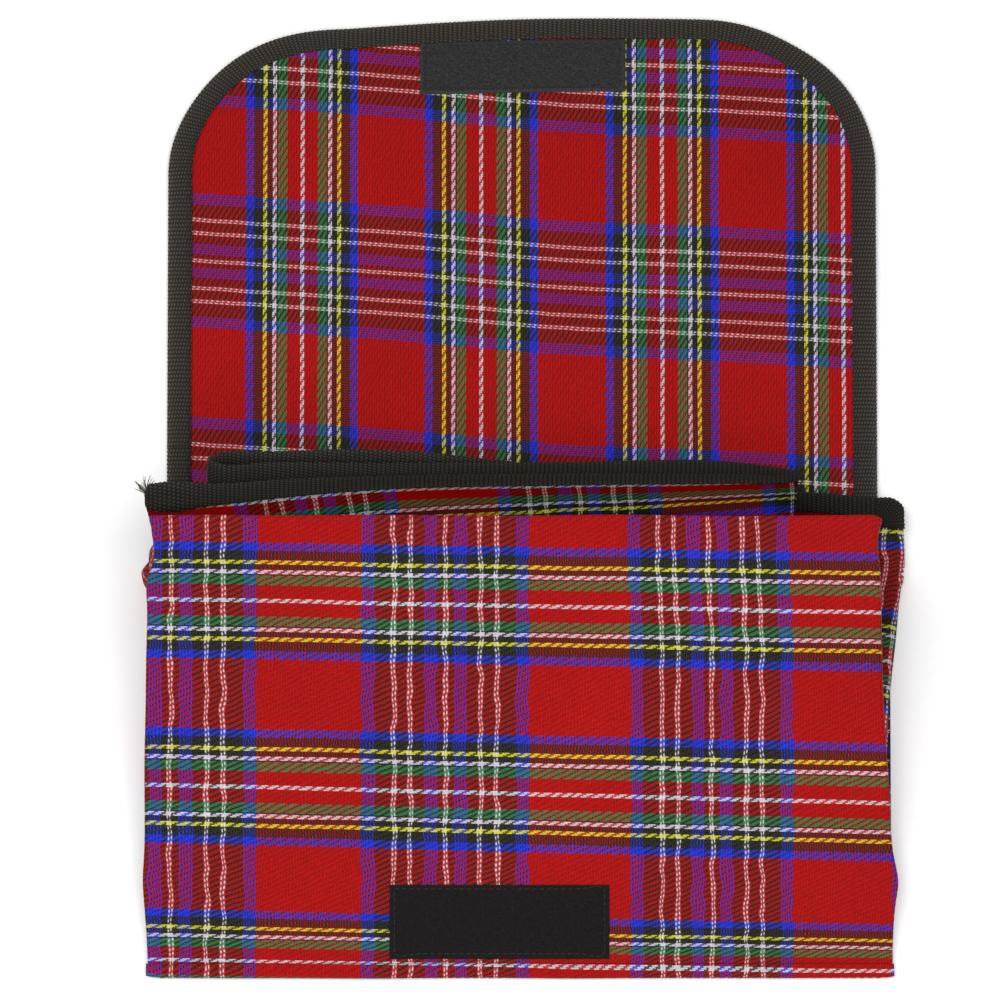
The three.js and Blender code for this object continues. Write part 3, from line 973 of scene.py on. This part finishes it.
def make_tape_foot(name, side, material, node):
    """The flap's tape runs on below the mouth, where the pocket holds its end."""
    stations = []
    for y in np.linspace(SPLICE_Y, MOUTH_Y - 7, 10):
        stations.append(((side * (FLAP_SIDE - TAPE), y, FOLD_Z), (side * FLAP_SIDE, y, FOLD_Z)))
    if side > 0:
        stations.reverse()
    piece = make_tape(name, stations, TAPE_HALF - RIB_RISE, material)
    settle_over_fold(piece, "pocket", "spine", MOUTH_Y, 3, "webbing", node)


def make_mouth_tape(material):
    stations = [(row[2], row[3]) for row in mouth_rows()]
    piece = make_tape("mouth_tape", stations, MOUTH_TAPE_HALF, material)
    settle(piece, "pocket", "webbing", "mouth_binding")
    corner = make_tape("corner_tape", CORNER, MOUTH_TAPE_HALF, material)
    settle(corner, "pocket", "webbing", "corner_binding")
    for tape in (piece, corner):
        flatten_with_front(tape)


# ---- Threads ----

def tube(points, radii, sides, vertices, faces):
    """Adds a closed tube along points to lists of vertices and faces. All in millimetres."""
    first = len(vertices)
    points = [Vector(p) for p in points]
    for i, (point, radius) in enumerate(zip(points, radii)):
        ahead = points[min(i + 1, len(points) - 1)] - points[max(i - 1, 0)]
        side = ahead.orthogonal().normalized()
        other = ahead.normalized().cross(side)
        for k in range(sides):
            angle = 2 * math.pi * k / sides
            around = side * math.cos(angle) + other * math.sin(angle)
            vertices.append(at(*(point + around * radius)))
    for r in range(len(points) - 1):
        for k in range(sides):
            a, b = first + r * sides + k, first + r * sides + (k + 1) % sides
            faces.append((a, b, b + sides, a + sides))
    last = first + (len(points) - 1) * sides
    faces.append(tuple(range(first + sides - 1, first - 1, -1)))
    faces.append(tuple(range(last, last + sides)))


def make_stitches(name, path, lifted, material, pitch=3.0, length=2.2):
    """A row of separate stitches that dip into the cloth at both ends; path is in millimetres."""
    lines, travelled = along([[point] for point in path], pitch)
    vertices, faces = [], []
    for start, end in zip(lines[:-1, 0], lines[1:, 0]):
        way = (end - start) * (length / pitch)
        points = []
        for share, rise in ((0, -0.3), (0.15, 0.1), (0.5, 0.24), (0.85, 0.1), (1, -0.3)):
            points.append(start + way * share + np.array([0, 0, lifted + rise]))
        tube(points, (0.1, 0.19, 0.22, 0.19, 0.1), 6, vertices, faces)
    return new_object(name, vertices, faces, [material])


def rectangle(place, low, high, inset):
    """A closed path around a strip; place(x, y) gives its points."""
    (x0, y0), (x1, y1) = (low[0] + inset, low[1] + inset), (high[0] - inset, high[1] - inset)
    corners = [(x0, y0), (x1, y0), (x1, y1), (x0, y1), (x0, y0)]
    path = []
    for (ax, ay), (bx, by) in zip(corners, corners[1:]):
        for share in np.linspace(0, 1, 9)[:-1]:
            path.append(place(ax + (bx - ax) * share, ay + (by - ay) * share))
    return path + [place(x0, y0)]


def in_mm(point):
    """A frame point back in millimetres from the seam."""
    return (point.x / MM, from_seam(point.y), point.z / MM)


def make_all_stitches(black, red):
    outline = [p for p in flap_outline(TAPE_SEAM) if p[1] > BEND_Y + 2]
    row = make_stitches(
        "flap_tape_stitches", [on_flap(*p) for p in outline], TAPE_HALF + 0.1, black)
    settle(row, "flap", "black_thread", "flap_binding_stitching")
    for side, name in ((-1, "left"), (1, "right")):
        x = side * (FLAP_SIDE - TAPE_SEAM)
        path = [(x, y, FOLD_Z) for y in np.linspace(MOUTH_Y + 4, BEND_Y - 2, 6)]
        row = make_stitches(f"spine_tape_stitches_{name}", path, TAPE_HALF + 0.1, black)
        settle(row, "spine", "black_thread")
    for name, edge, inward, node in (
        ("left", FRONT_LEFT, -0.1, "left_seam_stitching"),
        ("right", FRONT_RIGHT, 0.1, "right_seam_stitching"),
    ):
        path = [
            in_mm(front_place(edge_at(edge, down) + inward, down, -1.0))
            for down in np.linspace(FRONT_LENGTH - 8, 12, 30)
        ]
        row = make_stitches(f"{name}_seam_stitches", path, 0.0, red, 3.4, 1.9)
        settle(row, "front", "red_thread", node)
    path = [(x, 1.3, 1.0) for x in np.linspace(-150, 150, 12)]
    row = make_stitches("bottom_seam_stitches", path, 0.0, red, 3.4, 1.9)
    settle(row, "pocket", "red_thread", "bottom_seam_stitching")


def make_frayed_end(materials):
    """Loose yarns at the tape's cut end."""
    rng = random.Random(12)
    vertices, faces, pale = [], [], []
    x, _, edge, outer, _ = MOUTH[0]
    for number in range(34):
        across = rng.uniform(0.6, 1.0)
        start = Vector((x + 0.5, edge[0] + (outer[0] - edge[0]) * across,
                        edge[1] + (outer[1] - edge[1]) * across))
        aim = Vector((-1, rng.uniform(0.3, 2.2), rng.uniform(-0.1, 0.9))).normalized()
        if number % 3 == 0:
            aim = Vector((rng.uniform(-0.2, 0.9), 1, rng.uniform(0.3, 1.0))).normalized()
        length = rng.uniform(2.4, 6.8)
        bend = Vector([rng.uniform(-2.4, 2.4) for _ in range(3)])
        points = [start + aim * length * t + bend * t * t for t in (0, 0.25, 0.5, 0.75, 1)]
        before = len(faces)
        tube(points, (0.24, 0.24, 0.22, 0.18, 0.08), 5, vertices, faces)
        pale.extend([int(number % 4 == 1)] * (len(faces) - before))
    piece = new_object("frayed_threads", vertices, faces, materials)
    piece.data.polygons.foreach_set("material_index", pale)
    settle(piece, "pocket", "webbing", "tape_end_threads")
    flatten_with_front(piece)


# ---- Hook and loop tape ----

def strip_base(place, low, high, thick):
    """A woven ground with rounded edges; place(x, y, height) gives its points."""
    nx, ny = 60, 22
    vertices, faces, uvs = [], [], []
    for height_share in (0, 1):
        for j in range(ny):
            for i in range(nx):
                x = low[0] + (high[0] - low[0]) * i / (nx - 1)
                y = low[1] + (high[1] - low[1]) * j / (ny - 1)
                rim = min(i, j, nx - 1 - i, ny - 1 - j)
                height = height_share * thick * (0.55 if rim == 0 else 0.9 if rim == 1 else 1)
                vertices.append(place(x, y, height))
                uvs.append((x, y))
    size = nx * ny
    for j in range(ny - 1):
        for i in range(nx - 1):
            a = j * nx + i
            faces.append((a, a + nx, a + nx + 1, a + 1))
            faces.append((a + size, a + size + 1, a + size + nx + 1, a + size + nx))
    rim = [(i, 0) for i in range(nx)] + [(nx - 1, j) for j in range(1, ny)]
    rim += [(i, ny - 1) for i in range(nx - 2, -1, -1)] + [(0, j) for j in range(ny - 2, 0, -1)]
    for (i, j), (next_i, next_j) in zip(rim, rim[1:] + rim[:1]):
        a, b = j * nx + i, next_j * nx + next_i
        faces.append((a, b, b + size, a + size))
    return vertices, faces, uvs


STRIP_BASE = CLOTH / 2 + 0.1  # from the middle of the cloth up to the strip sewn on it
STRIPS = {  # a filament of the pile is drawn through its (ahead, height) points
    "hook": {
        "thick": 0.7, "pitch": (1.75, 1.45), "margin": 2.4, "seed": 5, "sewing": 0.05,
        "pile": [(0.0, -0.2), (-0.05, 0.45), (0.15, 0.85), (0.5, 0.8), (0.6, 0.5)],
    },
    "loop": {
        "thick": 0.6, "pitch": (1.15, 0.95), "margin": 1.6, "seed": 9, "sewing": 0.15,
        "pile": [(-0.4, -0.2), (-0.35, 0.3), (0.0, 0.55), (0.35, 0.3), (0.4, -0.2)],
    },
}


def make_strip(kind, body, place, low, high, material, black):
    """Hook or loop tape with its row of sewing: a woven ground and a pile of bent filaments."""
    strip = STRIPS[kind]
    thick, margin = strip["thick"], strip["margin"]
    pitch_x, pitch_y = strip["pitch"]
    rng = random.Random(strip["seed"])
    vertices, faces, uvs = strip_base(place, low, high, thick)
    for x in np.arange(low[0] + margin, high[0] - margin, pitch_x):
        for y in np.arange(low[1] + margin, high[1] - margin, pitch_y):
            px = x + rng.uniform(-0.3, 0.3) * pitch_x
            py = y + rng.uniform(-0.3, 0.3) * pitch_y
            lean = rng.uniform(-0.5, 0.5)
            size = rng.uniform(0.75, 1.15)
            points = []
            for ahead, height in strip["pile"]:
                point = place(px + ahead * size, py + lean * height * 0.6, thick + height * size)
                points.append(Vector(in_mm(point)))
            before = len(vertices)
            tube(points, [0.13] * len(points), 4, vertices, faces)
            uvs.extend([(px, py)] * (len(vertices) - before))
    piece = new_object(f"{kind}_tape", vertices, faces, [material], uvs)
    settle(piece, body, f"{kind}_tape", f"{kind}_strip")
    path = rectangle(lambda x, y: in_mm(place(x, y, thick)), low, high, 2.0)
    row = make_stitches(f"{kind}_tape_stitches", path, strip["sewing"], black)
    settle(row, body, "black_thread", f"{kind}_strip_stitching")


def make_hook_strip(material, black):
    """Sewn to the front above its foot; follows the front's curve."""
    height = 31.4
    middle = 170.4
    low = (HOOK_LOW.x / MM, middle - height / 2)
    high = (HOOK_HIGH.x / MM, middle + height / 2)

    def place(x, down, lifted):
        return front_place(x, down, STRIP_BASE + lifted)

    make_strip("hook", "front", place, low, high, material, black)


def make_loop_strip(material, black):
    """Sewn to the flap with its far edge against the binding, a little askew."""
    low = (LOOP_LOW.x / MM, from_seam(LOOP_LOW.y))
    high = (LOOP_HIGH.x / MM, from_seam(LOOP_HIGH.y))
    askew = 0.022

    def place(x, y, lifted):
        turned = y + askew * x
        return at(x, turned, FOLD_Z + lift(x, turned) + STRIP_BASE + lifted)

    make_strip("loop", "flap", place, low, high, material, black)


# ---- The whole ----

def main():
    add_camera()
    add_studio()
    flap_tartan = tartan("flap_tartan", 0.5, 0.8, gain=0.85, fine_ribs=0.6)
    front_tartan = tartan("front_tartan", 0.6, 3.4, gain=0.83, coarse_ribs=0.25)
    binding = webbing("binding_tape", (58, 54, 49), gain=0.86, shine=0.5)
    black = thread("black_thread", (34, 32, 31))
    red = thread("red_thread", (150, 26, 24))

    make_back(flap_tartan)
    make_flap_cloth(flap_tartan)
    make_front(front_tartan)
    make_bottom_fold(front_tartan)
    right = make_gusset(
        "right_side_wall", front_tartan, right_wall, 22, 214.5, (227.4, 22.9, 2), "right_gusset")
    left = make_gusset(
        "left_side_wall", front_tartan, left_wall, 22, 196, (223.6, 22.9, 2), "left_gusset")
    # Painted shade: the mouth's cloth is a darker copy of the tartan (gain 0.43), standing for the
    # shade inside the mouth.
    make_mouth_cloth(tartan("shaded_mouth_tartan", 0.6, 2.0, gain=0.43, shine=0.0))
    make_flap_tape(binding)
    make_tape_foot("tape_foot_left", -1, binding, "spine_binding_left")
    make_tape_foot("tape_foot_right", 1, binding, "spine_binding_right")
    # Painted shade: the mouth's binding is a darker copy of the binding tape, standing for the
    # shade in the mouth.
    make_mouth_tape(webbing("mouth_tape", (44, 42, 38), gain=0.68, shine=0.25))
    make_all_stitches(black, red)
    make_frayed_end([black, thread("pale_thread", (158, 150, 128))])
    make_hook_strip(fuzzy("hook_tape", (25, 23, 24), streak=1.2, spread=0.25), black)
    make_loop_strip(fuzzy("loop_tape", (51, 51, 51), streak=3.0, spread=0.5), black)


main()
bpy.context.view_layer.update()
